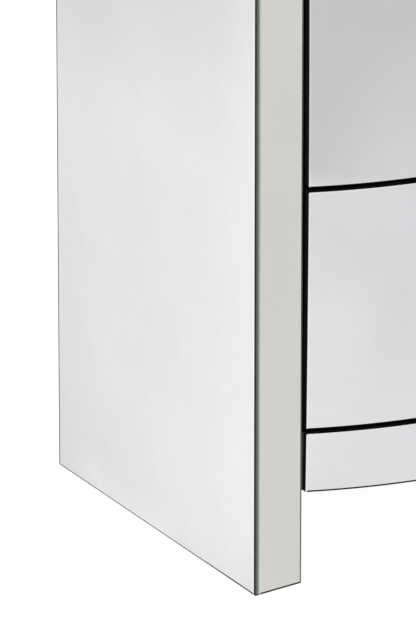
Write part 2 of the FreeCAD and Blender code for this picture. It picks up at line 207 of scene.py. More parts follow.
class Finish:
    """A material, or the world, and its nodes."""

    def __init__(self, name, tree=None):
        if tree is None:
            self.material = bpy.data.materials.new(name)
            self.material.use_nodes = True
            tree = self.material.node_tree
        self.tree = tree
        self.tree.nodes.clear()

    def add(self, kind, settings=None, inputs=None, output=0):
        """Makes a node: its settings first, then the values or links of its sockets."""
        made = self.tree.nodes.new(kind)
        for key, value in (settings or {}).items():
            setattr(made, key, value)
        for key, value in (inputs or {}).items():
            if isinstance(value, Value):
                self.tree.links.new(value.socket, made.inputs[key])
            else:
                made.inputs[key].default_value = value
        return Value(self, made.outputs[output])

    def place(self):
        return self.add("ShaderNodeTexCoord", output="Object")

    def parts(self, vector):
        """The x, y and z of a vector, each on its own."""
        split = self.add("ShaderNodeSeparateXYZ", None, {0: vector}).socket.node
        return [Value(self, socket) for socket in split.outputs]

    def stretched(self, scale):
        """Object coordinates, scaled along each axis."""
        return self.add("ShaderNodeMapping", None, {"Vector": self.place(), "Scale": scale})

    def noise(self, vector, scale, detail, roughness=0.5):
        return self.add("ShaderNodeTexNoise", None,
                        {"Vector": vector, "Scale": scale, "Detail": detail,
                         "Roughness": roughness})

    def mix(self, first, second, factor):
        """A colour between two others."""
        return self.add("ShaderNodeMix", {"data_type": "RGBA"}, {0: factor, 6: first, 7: second},
                        2)

    def colour(self, red, green, blue):
        return self.add("ShaderNodeCombineColor", None, {0: red, 1: green, 2: blue})

    def bump(self, height, depth):
        return self.add("ShaderNodeBump", None,
                        {"Height": height, "Distance": depth, "Strength": 1.0})

    def seen_by(self):
        """Whether the camera sees the surface, and whether a mirror or glass does."""
        rays = self.add("ShaderNodeLightPath").socket.node.outputs
        camera, glossy, through = [Value(self, rays[kind]) for kind in
                                   ("Is Camera Ray", "Is Glossy Ray", "Is Transmission Ray")]
        return camera, (glossy + through).at_most(1.0)

    def surface(self, **inputs):
        """Ends the material in a principled shader with these inputs."""
        names = {key.replace("_", " "): value for key, value in inputs.items()}
        shader = self.add("ShaderNodeBsdfPrincipled", None, names)
        self.add_output(shader)
        return self.material

    def add_output(self, shader, kind="ShaderNodeOutputMaterial"):
        made = self.tree.nodes.new(kind)
        self.tree.links.new(shader.socket, made.inputs["Surface"])


def rgb(red, green, blue):
    return (red, green, blue, 1.0)


# ---------------------------------------------------------------- finishes of the chest


def silvered_glass(name, tint, clouding):
    """Sheet mirror: silver behind clear glass, with very faint clouds in the silvering."""
    finish = Finish(name)
    place = finish.place()
    clouds = finish.noise(place, 9.0, 3.0, 0.55)
    specks = finish.noise(place, 70.0, 2.0, 0.5)
    cloudy = (clouds * 0.8 + specks * 0.2).ramp(0.34, 0.66)
    dull = tuple(part * (1 - clouding) for part in tint[:3]) + (1.0,)
    return finish.surface(Base_Color=finish.mix(dull, tint, cloudy), Metallic=1.0,
                          Roughness=0.012 + cloudy * 0.01)


def painted_foot_shade(name, tint, dark):
    """The foot of a side mirror, with painted shade: its silver darkens towards the front corner.
    """
    finish = Finish(name)
    back = finish.parts(finish.place())[Y].ramp(-0.11, 0.02)
    return finish.surface(Base_Color=finish.mix(dark, tint, back), Metallic=1.0, Roughness=0.02)


def ground_edge(name, outer, inner, smooth):
    """Edge of a sheet of glass, by how deep in the sheet it lies."""
    finish = Finish(name)
    depth = finish.add("ShaderNodeAttribute", {"attribute_name": "depth"}, output="Fac")
    scratches = finish.noise(finish.stretched((900.0, 900.0, 40.0)), 1.0, 2.0)
    shade = (depth + scratches * 0.12 - 0.06).ramp(0.66, 0.88)
    return finish.surface(Base_Color=finish.mix(outer, inner, shade),
                          Roughness=smooth + scratches * 0.1)


def lacquered_board(name):
    """Fibreboard sprayed satin black: an even coat over faint fibres."""
    finish = Finish(name)
    place = finish.place()
    mottle = finish.noise(place, 22.0, 5.0, 0.6)
    spray = finish.noise(place, 420.0, 2.0, 0.5)
    colour = finish.mix(rgb(0.006, 0.006, 0.0065), rgb(0.014, 0.014, 0.0145), mottle)
    return finish.surface(Base_Color=colour, Roughness=0.3 + mottle * 0.16,
                          Normal=finish.bump(spray, 0.00006))


def planed_wood(name, grain, pale, dark):
    """Planed timber with its grain along one axis."""
    finish = Finish(name)
    scale = [55.0, 55.0, 55.0]
    scale[grain] = 2.5
    along = finish.stretched(scale)
    bands = finish.noise(along, 0.7, 3.0, 0.5)
    fibres = finish.noise(along, 7.0, 6.0, 0.65)
    figure = (bands * 0.65 + fibres * 0.35).ramp(0.36, 0.66)
    return finish.surface(Base_Color=finish.mix(pale, dark, figure),
                          Roughness=0.55 + fibres * 0.15,
                          Normal=finish.bump(fibres, 0.00012))


def plywood(name, thin, grain, ply):
    """Lacquered birch plywood: fine figure on its faces and its plies along its edges."""
    finish = Finish(name)
    scale = [70.0, 70.0, 70.0]
    scale[grain] = 3.0
    along = finish.stretched(scale)
    waves = finish.noise(along, 0.5, 2.0, 0.5)
    fibres = finish.noise(along, 6.0, 6.0, 0.7)
    figure = (waves * 0.6 + fibres * 0.4).ramp(0.38, 0.64)
    face = finish.mix(rgb(0.62, 0.44, 0.25), rgb(0.47, 0.31, 0.16), figure)
    across = finish.parts(finish.place())[thin]
    step = finish.add("ShaderNodeMath", {"operation": "PINGPONG"}, {0: across, 1: ply})
    layer = (step / ply + fibres * 0.3 - 0.15).ramp(0.35, 0.65)
    edge = finish.mix(rgb(0.50, 0.33, 0.17), rgb(0.24, 0.14, 0.07), layer)
    normal = finish.parts(finish.add("ShaderNodeNewGeometry", output="Normal"))[thin]
    on_edge = 1 - abs(normal).ramp(0.3, 0.8)
    return finish.surface(Base_Color=finish.mix(face, edge, on_edge),
                          Roughness=0.38 + fibres * 0.2, Coat_Weight=0.15,
                          Normal=finish.bump(fibres, 0.00005))


def zinc_plate(name, along, tone):
    """Rolled steel under bright zinc, with draw marks along one axis."""
    finish = Finish(name)
    scale = [420.0, 420.0, 420.0]
    scale[along] = 6.0
    marks = finish.noise(finish.stretched(scale), 1.0, 3.0, 0.6)
    clouds = finish.noise(finish.place(), 30.0, 3.0, 0.6)
    colour = finish.mix(rgb(tone * 0.86, tone * 0.88, tone * 0.9), rgb(tone, tone, tone * 0.99),
                        marks * 0.5 + clouds * 0.5)
    return finish.surface(Base_Color=colour, Metallic=1.0, Roughness=0.24 + marks * 0.18,
                          Normal=finish.bump(marks, 0.00002))


def polished_chrome(name):
    finish = Finish(name)
    haze = finish.noise(finish.place(), 160.0, 3.0, 0.5)
    return finish.surface(
        Base_Color=finish.mix(rgb(0.60, 0.61, 0.63), rgb(0.68, 0.69, 0.70), haze),
        Metallic=1.0, Roughness=0.04 + haze * 0.05)


def cut_crystal(name):
    finish = Finish(name)
    streaks = finish.noise(finish.place(), 120.0, 2.0, 0.5)
    return finish.surface(
        Base_Color=finish.mix(rgb(0.93, 0.95, 0.96), rgb(0.99, 0.99, 1.0), streaks),
        Roughness=0.005 + streaks * 0.01, IOR=1.54, Transmission_Weight=1.0)


def moulded_nylon(name):
    finish = Finish(name)
    grain = finish.noise(finish.place(), 600.0, 3.0, 0.5)
    return finish.surface(
        Base_Color=finish.mix(rgb(0.012, 0.012, 0.012), rgb(0.022, 0.022, 0.022), grain),
        Roughness=0.45 + grain * 0.15, Normal=finish.bump(grain, 0.00008))


def faced_hardboard(name):
    """Hardboard with a dark melamine face."""
    finish = Finish(name)
    place = finish.place()
    fibres = finish.noise(place, 240.0, 5.0, 0.7)
    clouds = finish.noise(place, 8.0, 3.0, 0.5)
    colour = finish.mix(rgb(0.012, 0.011, 0.010), rgb(0.026, 0.024, 0.022),
                        fibres * 0.5 + clouds * 0.5)
    return finish.surface(Base_Color=colour, Roughness=0.5 + fibres * 0.2,
                          Normal=finish.bump(fibres, 0.0001))


SILVER = rgb(0.86, 0.862, 0.86)
PINE_TONES = (rgb(0.60, 0.42, 0.22), rgb(0.42, 0.25, 0.11))
SIDE_PLY = 1.35 * MM
BOTTOM_PLY = 1.1 * MM

silver = silvered_glass("silvered_glass", SILVER, 0.035)
# The stile's mirror is the same silvered glass, tinted darker and warmer as painted shade.
shaded_stile_silver = silvered_glass("stile_silvered_glass", rgb(0.767, 0.754, 0.708), 0.02)
# A paler silver as a painted highlight, for the margins along the mirrors' edges.
highlight_silver = silvered_glass("silvered_highlight", rgb(0.95, 0.95, 0.95), 0.01)
# Painted shade along a side mirror's foot.
shaded_silver_foot = painted_foot_shade("silvered_foot_shade", SILVER, rgb(0.05, 0.05, 0.05))
# The glass's own green along its edges, turning paler towards the silvered back as a painted
# highlight.
green_edge_with_highlight = ground_edge("polished_green_edge", rgb(0.122, 0.174, 0.108), rgb(0.54, 0.57, 0.50),
                         0.25)
# A painted reflection of the glass edge: a dark olive strip along a stile's face beside the
# drawers.
olive_edge_reflection = ground_edge("olive_edge_reflection", rgb(0.105, 0.110, 0.082), rgb(0.22, 0.23, 0.18), 0.3)
# Painted highlight on a stile's arrises that don't look down.
highlight_edge = ground_edge("pale_green_edge", rgb(0.58, 0.59, 0.54), rgb(0.60, 0.61, 0.56), 0.3)
# Painted shade: near black on arrises, along the sheets' feet and along the side sheets' back
# edges.
painted_shade_arris = ground_edge("painted_shade_arris", rgb(0.008, 0.010, 0.008), rgb(0.012, 0.014, 0.012), 0.6)
black_edge = ground_edge("blackened_edge", rgb(0.010, 0.011, 0.011), rgb(0.005, 0.005, 0.005),
                         0.35)
lacquer = lacquered_board("black_lacquer")
pine = planed_wood("planed_pine", Z, *PINE_TONES)
pine_across = planed_wood("planed_pine_across", X, *PINE_TONES)
beech = planed_wood("turned_beech", X, rgb(0.56, 0.38, 0.23), rgb(0.42, 0.26, 0.14))
ply_side = plywood("birch_plywood_side", X, Y, SIDE_PLY)
ply_back = plywood("birch_plywood_back", Y, X, SIDE_PLY)
ply_bottom = plywood("birch_plywood_bottom", Z, X, BOTTOM_PLY)
runner_zinc = zinc_plate("zinc_runner", Y, 0.62)
screw_zinc = zinc_plate("zinc_screw", Z, 0.70)
chrome = polished_chrome("polished_chrome")
crystal = cut_crystal("cut_crystal")
nylon = moulded_nylon("black_nylon")
hardboard = faced_hardboard("dark_hardboard")

SLOT_FINISH = {
    "mirror": silver,
    "black_board": lacquer,
    "pine": pine,
    "beech": beech,
    "drawer_ply": ply_side,
    "back_board": hardboard,
    "runner_steel": runner_zinc,
    "zinc_steel": screw_zinc,
    "chrome": chrome,
    "crystal": crystal,
    "nylon": nylon,
}

# Places in a sheet's list of finishes: its face, its edge, painted shade, a painted highlight, and
# a strip that is painted shade on a side sheet and a painted reflection on a stile.
FACE, EDGE, PAINTED_SHADE, PAINTED_HIGHLIGHT, STRIP = range(5)

# ---------------------------------------------------------------- building tools

SLOT_OF = {part["node"]: part["material_slot"] for part in frame["record"]["subparts"]}
BODY_OF = {node: body for body, nodes in frame["record"]["behaviour"]["bodies"].items()
           for node in nodes}

# The angle, in degrees, that is always smoothed over, and how many times larger than its
# neighbour a face stays crisp.
NEARLY_FLAT = 3
FAR_LARGER = 10


def shade_smooth(bm, degrees):
    """Smooths over gentle edges, but keeps a large flat face crisp beside a narrow one."""
    for face in bm.faces:
        face.smooth = True
    for edge in bm.edges:
        if edge.is_manifold:
            angle = math.degrees(edge.calc_face_angle(0.0))
            small, large = sorted(face.calc_area() for face in edge.link_faces)
            alike = large < FAR_LARGER * small
            edge.smooth = angle < NEARLY_FLAT or (angle < degrees and alike)


def finished(name, bm, finishes, node, smooth=50):
    """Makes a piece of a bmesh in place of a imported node, and frees the bmesh."""
    shade_smooth(bm, smooth)
    mesh = bpy.data.meshes.new(name)
    bm.to_mesh(mesh)
    bm.free()
    for finish in finishes:
        mesh.materials.append(finish)
    piece = bpy.data.objects.new(name, mesh)
    bpy.context.scene.collection.objects.link(piece)
    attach(piece, BODY_OF[node])
    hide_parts(node)


def sharp_edges(bm, degrees=35):
    return [edge for edge in bm.edges
            if edge.is_manifold and edge.calc_face_angle(0.0) > math.radians(degrees)]


def ease(bm, edges, width, segments=2):
    bmesh.ops.bevel(bm, geom=edges, offset=width, segments=segments, profile=0.5,
                    affect="EDGES", material=-1, clamp_overlap=True)


def cuboid(bm, low, high):
    """A box between two corners."""
    low, high = Vector(low), Vector(high)
    made = bmesh.ops.create_cube(bm, size=1.0)["verts"]
    bmesh.ops.scale(bm, vec=high - low, verts=made)
    bmesh.ops.translate(bm, vec=(low + high) / 2, verts=made)


def mark_depth(bm, depth_of):
    """Stores how deep each point lies in its sheet, from 0 at the face to 1 at the back."""
    layer = bm.verts.layers.float.new("depth")
    for vert in bm.verts:
        vert[layer] = min(1.0, max(0.0, depth_of(vert.co)))


def margin(bm, front, width, strips):
    """Insets a mirror's face by a width; each strip has a test for its side, and a finish."""
    corners = [vert.co.copy() for face in front for vert in face.verts]
    low = Vector([min(co[axis] for co in corners) for axis in (X, Y, Z)])
    high = Vector([max(co[axis] for co in corners) for axis in (X, Y, Z)])
    ring = bmesh.ops.inset_region(bm, faces=front, thickness=width, use_even_offset=True)
    for face in ring["faces"]:
        place = face.calc_center_median()
        for on_side, finish in strips:
            if on_side(place - low, high - place, width):
                face.material_index = finish
                break


def flat_mirror(name, node, low, high, axis, outward, arris, finishes, arris_finish, margins):
    """A flat sheet of mirror with ground arrises and a line of painted shade along the foot of its
    edges; its face looks along one axis.
    """
    bm = bmesh.new()
    cuboid(bm, low, high)
    outer = high[axis] if outward > 0 else low[axis]
    around_face = [edge for edge in bm.edges
                   if all(abs(vert.co[axis] - outer) < CLOSE for vert in edge.verts)]
    ease(bm, around_face, arris, 1)
    ease(bm, sharp_edges(bm, 80), FINE_ARRIS, 1)
    bm.normal_update()
    facing = Vector((0, 0, 0))
    facing[axis] = outward
    edge_faces = [face for face in bm.faces
                  if abs(face.normal.dot(facing)) < ACROSS and abs(face.normal.z) < ACROSS]
    # The edges are cut at the top of a painted shade line along the foot, and the faces below it
    # take painted shade.
    foot_top = low[Z] + FOOT_SHADE_LINE
    cut = {part for face in edge_faces for part in (face, *face.edges, *face.verts)}
    bmesh.ops.bisect_plane(bm, geom=list(cut), plane_co=(0, 0, foot_top), plane_no=(0, 0, 1))
    for face in bm.faces:
        towards = face.normal.dot(facing)
        if towards > ALONG:
            face.material_index = FACE
        elif towards > ACROSS:
            face.material_index = arris_finish(face)
        elif face.calc_center_median().z < foot_top:
            face.material_index = PAINTED_SHADE
        else:
            face.material_index = EDGE
    front = [face for face in bm.faces if face.normal.dot(facing) > ALONG]
    for width, strips in margins:
        margin(bm, front, width, strips)
    mark_depth(bm, lambda place: abs(place[axis] - outer) / GLASS)
    finished(name, bm, finishes, node)


# Cells across a bowed sheet.
COLUMNS = 96


def bowed_sheet(low, high, half, inset, back_y, rows=16):
    """A sheet that follows the bowed front, with its back at back_y(x, z)."""
    bm = bmesh.new()
    bmesh.ops.create_grid(bm, x_segments=COLUMNS, y_segments=rows, size=0.5)
    for vert in bm.verts:
        x = vert.co.x * 2 * half
        z = low + (vert.co.y + 0.5) * (high - low)
        vert.co = (x, front_y(x, z, inset), z)
    made = bmesh.ops.extrude_face_region(bm, geom=bm.faces[:], use_keep_orig=True)
    for vert in made["geom"]:
        if isinstance(vert, bmesh.types.BMVert):
            vert.co.y = back_y(vert.co.x, vert.co.z)
    bmesh.ops.recalc_face_normals(bm, faces=bm.faces)
    return bm


def bowed_mirror(name, node, low, high, half, foot_shade_line):
    """Bent sheet mirror with a narrow arris and blackened edges, painted shade where it looks down
    and along its foot, and a painted highlight around its face.
    """
    bm = bowed_sheet(low, high, half, 0.0, lambda x, z: front_y(x, z, GLASS))
    ease(bm, sharp_edges(bm), FRONT_ARRIS, 1)
    bm.normal_update()
    front = []
    for face in bm.faces:
        place = face.calc_center_median()
        depth = place.y - front_y(place.x, place.z)
        if depth > 0.7 * FRONT_ARRIS:
            face.material_index = EDGE
        # Faces that look down take painted shade.
        elif face.normal.z < -0.3:
            face.material_index = PAINTED_SHADE
        if depth < UNSEEN:
            front.append(face)
    # A line of painted shade along the foot, and a line of painted highlight around the rest of
    # the face.
    first, second = sorted((foot_shade_line, LIGHT_LINE))
    margin(bm, front, first, ((foot, PAINTED_SHADE), (anywhere, PAINTED_HIGHLIGHT)))
    rest = ((foot, PAINTED_SHADE),) if foot_shade_line > first else ((above_foot, PAINTED_HIGHLIGHT),)
    margin(bm, front, second - first, rest)
    mark_depth(bm, lambda place: (place.y - front_y(place.x, place.z)) / GLASS)
    finished(name, bm, [silver, black_edge, painted_shade_arris, highlight_silver], node)


def bowed_board(name, node, low, high, half):
    """Lacquered board behind a bent mirror, with softened edges."""
    bm = bowed_sheet(low, high, half, GLASS, lambda x, z: bow_y(x, BOARD_BACK), rows=4)
    ease(bm, sharp_edges(bm), FRONT_EASE)
    finished(name, bm, [lacquer], node)


def plan_sheet(low, high, sides, front_of, back):
    """A level sheet whose front edge follows front_of(x); sides are its breaks across."""
    bm = bmesh.new()
    *outer, bow_half = sides
    stops = [-side for side in outer]
    stops += [bow_half * (2 * step / COLUMNS - 1) for step in range(COLUMNS + 1)]
    stops += reversed(outer)
    cells = len(stops) - 1
    bmesh.ops.create_grid(bm, x_segments=cells, y_segments=2, size=0.5)
    for vert in bm.verts:
        x = stops[round((vert.co.x + 0.5) * cells)]
        share = vert.co.y + 0.5
        vert.co = (x, front_of(x) * (1 - share) + back * share, high)
    made = bmesh.ops.extrude_face_region(bm, geom=bm.faces[:], use_keep_orig=True)
    for vert in made["geom"]:
        if isinstance(vert, bmesh.types.BMVert):
            vert.co.z = low
    bmesh.ops.recalc_face_normals(bm, faces=bm.faces)
    return bm


def packed_copy(node):
    """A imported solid's mesh with its flat faces whole again."""
    bm = bmesh.new()
    bm.from_mesh(frame["nodes"][node].data)
    bmesh.ops.remove_doubles(bm, verts=bm.verts, dist=CLOSE)
    bmesh.ops.dissolve_limit(bm, angle_limit=math.radians(1), verts=bm.verts, edges=bm.edges)
    return bm


def eased_node(node, width, finish=None):
    """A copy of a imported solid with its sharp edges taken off."""
    bm = packed_copy(node)
    ease(bm, sharp_edges(bm), width)
    bmesh.ops.triangulate(bm, faces=[face for face in bm.faces if len(face.verts) > 4])
    finished(node + "_eased", bm, [finish or SLOT_FINISH[SLOT_OF[node]]], node)


def painted_battens(node):
    """A copy of a slab's battens, lacquered where they show at its back and its foot."""
    bm = bmesh.new()
    bm.from_mesh(frame["nodes"][node].data)
    bm.normal_update()
    for face in bm.faces:
        place = face.calc_center_median()
        at_back = face.normal.y > 0.9 and place.y > CASE_BACK - MM
        face.material_index = 1 if at_back or place.z < SLAB_FOOT + MM else 0
    finished(node + "_painted", bm, [pine, lacquer], node)


OUTER_FOLD = 1.45 * MM
INNER_FOLD = 0.5 * MM
TIP_EASE = 0.35 * MM
LONG_EDGE = RUNNER_LENGTH - 10 * MM
BROAD_FACE = (30 * MM) ** 2


def rolled_channels(node):
    """A copy of packed channels whose folds are rounded and whose tips are deburred."""
    bm = packed_copy(node)
    long_edges = [edge for edge in sharp_edges(bm)
                  if abs((edge.verts[0].co - edge.verts[1].co).y) > LONG_EDGE]
    folds = {True: [], False: []}
    tips = []
    for edge in long_edges:
        if min(face.calc_area() for face in edge.link_faces) > BROAD_FACE:
            folds[edge.is_convex].append(edge)
        else:
            tips.append(edge)
    ease(bm, folds[True], OUTER_FOLD, 4)
    ease(bm, [edge for edge in folds[False] if edge.is_valid], INNER_FOLD)
    ease(bm, [edge for edge in tips if edge.is_valid], TIP_EASE)
    finished(node + "_rolled", bm, [SLOT_FINISH[SLOT_OF[node]]], node)


# ---------------------------------------------------------------- flat mirrors


def left_edge(from_low, from_high, width):
    return from_low.x < width


def right_edge(from_low, from_high, width):
    return from_high.x < width


def back_edge(from_low, from_high, width):
    return from_high.y < width


def front_edge(from_low, from_high, width):
    return from_low.y < width


def foot(from_low, from_high, width):
    return from_low.z < width


def above_foot(from_low, from_high, width):
    return from_low.z > width


def anywhere(from_low, from_high, width):
    return True


# Strips that are taken from a face one after the other: a width, and the sides with a finish. On a
# side sheet they are painted shade along the foot and the back edge, a painted highlight along the
# front edge, and a second foot strip of painted shade that darkens towards the front corner.
SIDE_STRIPS = (
    (0.9 * MM, ((foot, PAINTED_SHADE), (back_edge, PAINTED_SHADE), (front_edge, PAINTED_HIGHLIGHT))),
    (0.6 * MM, ((foot, STRIP), (back_edge, PAINTED_SHADE), (front_edge, PAINTED_HIGHLIGHT))),
    (0.5 * MM, ((front_edge, PAINTED_HIGHLIGHT),)),
)


# A stile's strips: painted shade along its foot, and a painted reflection of the glass edge along
# its side beside the drawers.
def stile_strips(beside_drawers):
    return ((1.3 * MM, ((foot, PAINTED_SHADE), (beside_drawers, STRIP))), (0.3 * MM, ((foot, PAINTED_SHADE),)))


def slab_mirrors(name, side, beside_drawers):
    """The flat mirrors on the outer face and the front of a side slab."""
    across = sorted((side * CASE_HALF, side * HALF_WIDTH))
    flat_mirror(name + "_side_sheet", name + "_side_mirror",
                (across[0], STILE_FRONT, SLAB_FOOT), (across[1], CASE_BACK, CASE_TOP),
                X, side, SIDE_ARRIS, [silver, green_edge_with_highlight, painted_shade_arris, highlight_silver, shaded_silver_foot],
                # Every arris of a side sheet takes painted shade.
                lambda face: PAINTED_SHADE, SIDE_STRIPS)
    across = sorted((side * OPENING_HALF, side * CASE_HALF))
    flat_mirror(name + "_stile_sheet", name + "_stile_mirror",
                (across[0], STILE_FRONT, SLAB_FOOT), (across[1], STILE_FRONT + GLASS, CASE_TOP),
                Y, -1, FRONT_ARRIS, [shaded_stile_silver, green_edge_with_highlight, painted_shade_arris, highlight_edge, olive_edge_reflection],
                # A stile's arrises take painted shade where they look down and a painted highlight
                # elsewhere.
                lambda face: PAINTED_SHADE if face.normal.z < -0.1 else PAINTED_HIGHLIGHT,
                stile_strips(beside_drawers))


slab_mirrors("left", -1, right_edge)
slab_mirrors("right", 1, left_edge)

# ---------------------------------------------------------------- bowed front

bowed_mirror("apron_sheet", "apron_mirror", *APRON, FRONT_HALF, APRON_FOOT_SHADE_LINE)
bowed_board("apron_lacquered", "apron_board", *APRON, OPENING_HALF)
for name, (low, high) in DRAWERS.items():
    bowed_mirror(name + "_drawer_sheet", name + "_drawer_mirror", low, high, FRONT_HALF,
                 DRAWER_FOOT_SHADE_LINE)
    bowed_board(name + "_drawer_lacquered", name + "_drawer_front", low, high, FRONT_HALF)

# ---------------------------------------------------------------- top


def lid_front(x):
    return bow_y(x, BOW) if abs(x) <= OPENING_HALF + CLOSE else STILE_FRONT


def top_sheet():
    """The mirror on top, bowed between its straight ends over the slabs, with painted shade on its
    arrises.
    """
    breaks = (HALF_WIDTH, OPENING_HALF + UNSEEN, OPENING_HALF)
    bm = plan_sheet(CASE_TOP, TOP, breaks, lid_front, CASE_BACK)
    ease(bm, sharp_edges(bm, 50), TOP_ARRIS, 1)
    bm.normal_update()
    for face in bm.faces:
        upright = abs(face.normal.z)
        # Arrises take painted shade.
        face.material_index = FACE if upright > ALONG else EDGE if upright < ACROSS else PAINTED_SHADE
    mark_depth(bm, lambda place: (TOP - place.z) / GLASS)
    finished("top_sheet", bm, [silver, green_edge_with_highlight, painted_shade_arris], "top_mirror", smooth=20)


def top_edge_sheet():
    """The bent strip of mirror in front of the top board."""
    bm = bowed_sheet(DECK_UNDERSIDE, CASE_TOP, OPENING_HALF, 0.0, lambda x, z: 0.0, rows=2)
    for vert in bm.verts:
        vert.co.y = bow_y(vert.co.x, BOW if vert.co.y < 0.0 else GLASS_BACK)
    ease(bm, sharp_edges(bm), TOP_EDGE_ARRIS, 1)
    for face in bm.faces:
        place = face.calc_center_median()
        at_front = place.y - bow_y(place.x, BOW) < UNSEEN
        face.material_index = FACE if at_front else EDGE
    mark_depth(bm, lambda place: (place.y - bow_y(place.x, BOW)) / GLASS)
    finished("top_edge_sheet", bm, [silver, black_edge], "top_edge_mirror")


top_sheet()
top_edge_sheet()

# ---------------------------------------------------------------- case boards

for node in ("bottom_board", "lower_rail", "upper_rail", "top_board", "left_side_inner_skin",
             "right_side_inner_skin", "left_side_outer_skin", "right_side_outer_skin"):
    eased_node(node, BOARD_EASE)
for node in ("left_side_battens", "right_side_battens"):
    painted_battens(node)
eased_node("apron_glue_blocks", BLOCK_EASE, pine_across)
eased_node("back_cleats", CLEAT_EASE, pine)
eased_node("back_panel", PANEL_EASE)

# ---------------------------------------------------------------- drawer boxes

for name in DRAWERS:
    eased_node(name + "_drawer_left_side", BOX_EASE, ply_side)
    eased_node(name + "_drawer_right_side", BOX_EASE, ply_side)
    eased_node(name + "_drawer_back", BOX_EASE, ply_back)
    eased_node(name + "_drawer_bottom", BOARD_EASE, ply_bottom)

# ---------------------------------------------------------------- runners and glides

for node in ["case_runner_channels"] + [name + kind for name in DRAWERS for kind in
                                        ("_intermediate_channels", "_drawer_channels")]:
    rolled_channels(node)
eased_node("floor_glides", GLIDE_EASE)

# ---------------------------------------------------------------- screws

SCREW_HEAD = 3.2 * MM
SCREW_SHANK = 1.6 * MM
SCREW_POINT = 3 * MM
POINT_RADIUS = 0.3 * MM
CASE_SCREW = 16 * MM
CASE_HEAD_DEPTH = 3 * MM
RUNNER_SCREW = 11 * MM
BOLT_RADIUS = 2 * MM
BOLT_HEAD = (4.5 * MM, 3 * MM)
BOLT_GRIP = 8 * MM

# Depth of a cross recess, and its half width, reach and narrowing as shares of the face.
RECESS = 1.1 * MM
SLOT_HALF = 0.13
SLOT_REACH = 0.58
SLOT_NARROWS = 0.7

# Radius of a pan head's face, and radius and depth of its rings, as shares of the head's own.
PAN_FACE = 0.8
PAN_RINGS = ((0.95, 0.25), (1.0, 0.5), (1.0, 1.0))


def crossed_head(bm, radius):
    """A round face with a cross recess, sunk along +Z."""
    stops = (-1.0, -SLOT_REACH, -SLOT_HALF, SLOT_HALF, SLOT_REACH, 1.0)
    cells = len(stops) - 1
    bmesh.ops.create_grid(bm, x_segments=cells, y_segments=cells, size=1.0)
    for vert in bm.verts:
        across = stops[round((vert.co.x + 1) / 2 * cells)]
        up = stops[round((vert.co.y + 1) / 2 * cells)]
        spot = Vector((across, up, 0))
        vert.co = (spot.normalized() if max(abs(across), abs(up)) > 0.99 else spot) * radius
    rim = [edge for edge in bm.edges if edge.is_boundary]
    cross = []
    for face in bm.faces:
        middle = face.calc_center_median() / radius
        near, far = sorted((abs(middle.x), abs(middle.y)))
        if near < 0.01 and far < SLOT_REACH:
            cross.append(face)
    sunk = bmesh.ops.extrude_face_region(bm, geom=cross)["geom"]
    bmesh.ops.delete(bm, geom=cross, context="FACES")
    for vert in sunk:
        if isinstance(vert, bmesh.types.BMVert):
            vert.co = (vert.co.x * SLOT_NARROWS, vert.co.y * SLOT_NARROWS, RECESS)
    return rim


def drawn_out(bm, rim, steps):
    """Draws a rim out through pairs of radius and depth, and closes it in a point."""
    for radius, depth in steps:
        made = bmesh.ops.extrude_edge_only(bm, edges=rim)["geom"]
        rim = [part for part in made if isinstance(part, bmesh.types.BMEdge)]
        for vert in {vert for edge in rim for vert in edge.verts}:
            vert.co = Vector((vert.co.x, vert.co.y, 0)).normalized() * radius
            vert.co.z = depth
    bmesh.ops.edgeloop_fill(bm, edges=rim)


def screw(length, head_depth):
    """A countersunk screw with a cross recess, its face at the origin and its point along +Z."""
    bm = bmesh.new()
    rim = crossed_head(bm, SCREW_HEAD)
    drawn_out(bm, rim, ((SCREW_SHANK, head_depth), (SCREW_SHANK, length - SCREW_POINT),
                        (POINT_RADIUS, length)))
    bmesh.ops.recalc_face_normals(bm, faces=bm.faces)
    return bm


def bolt(length):
    """A pan headed bolt with a cross recess, its seat at the origin and its shank along +Z."""
    bm = bmesh.new()
    head, depth = BOLT_HEAD
    rim = crossed_head(bm, head * PAN_FACE)
    rings = [(head * across, depth * down) for across, down in PAN_RINGS]
    drawn_out(bm, rim, rings + [(BOLT_RADIUS, depth), (BOLT_RADIUS, depth + length)])
    bmesh.ops.translate(bm, vec=(0, 0, -depth), verts=bm.verts)
    bmesh.ops.recalc_face_normals(bm, faces=bm.faces)
    return bm


def driven(target, source, place, into, turn):
    """Adds a screw to a set, turned, and driven into a surface at a place."""
    stray = bpy.data.meshes.new("stray")
    bmesh.ops.rotate(source, verts=source.verts, cent=(0, 0, 0),
                     matrix=Matrix.Rotation(turn, 3, "Z"))
    to = Vector(into).to_track_quat("Z", "Y").to_matrix()
    bmesh.ops.rotate(source, verts=source.verts, cent=(0, 0, 0), matrix=to)
    bmesh.ops.translate(source, verts=source.verts, vec=place)
    source.to_mesh(stray)
    source.free()
    target.from_mesh(stray)
    bpy.data.meshes.remove(stray)


RUNNER_STEEL = 1.5 * MM
RUNNER_FRONT = STILE_FRONT + RUNNER_SETBACK
RUNNER_BACK = RUNNER_FRONT + RUNNER_LENGTH
RUNNER_RISE = 70 * MM
SCREW_INSET = 40 * MM
CLEAT_MIDDLE = OPENING_HALF - 9 * MM
BOTTOM_MIDDLE = APRON[1] - 8 * MM
CLEAT_SCREWS = 4
SCREW_DEPTHS = (RUNNER_FRONT + SCREW_INSET, RUNNER_BACK - SCREW_INSET)

# How far each screw is turned past the one before, in radians.
TURN = 0.7


def rose_seat(height):
    """Where the flat back of a knob rests on the bowed glass."""
    return BOW_AXIS - reach_at(height) - ROSE_PLAY


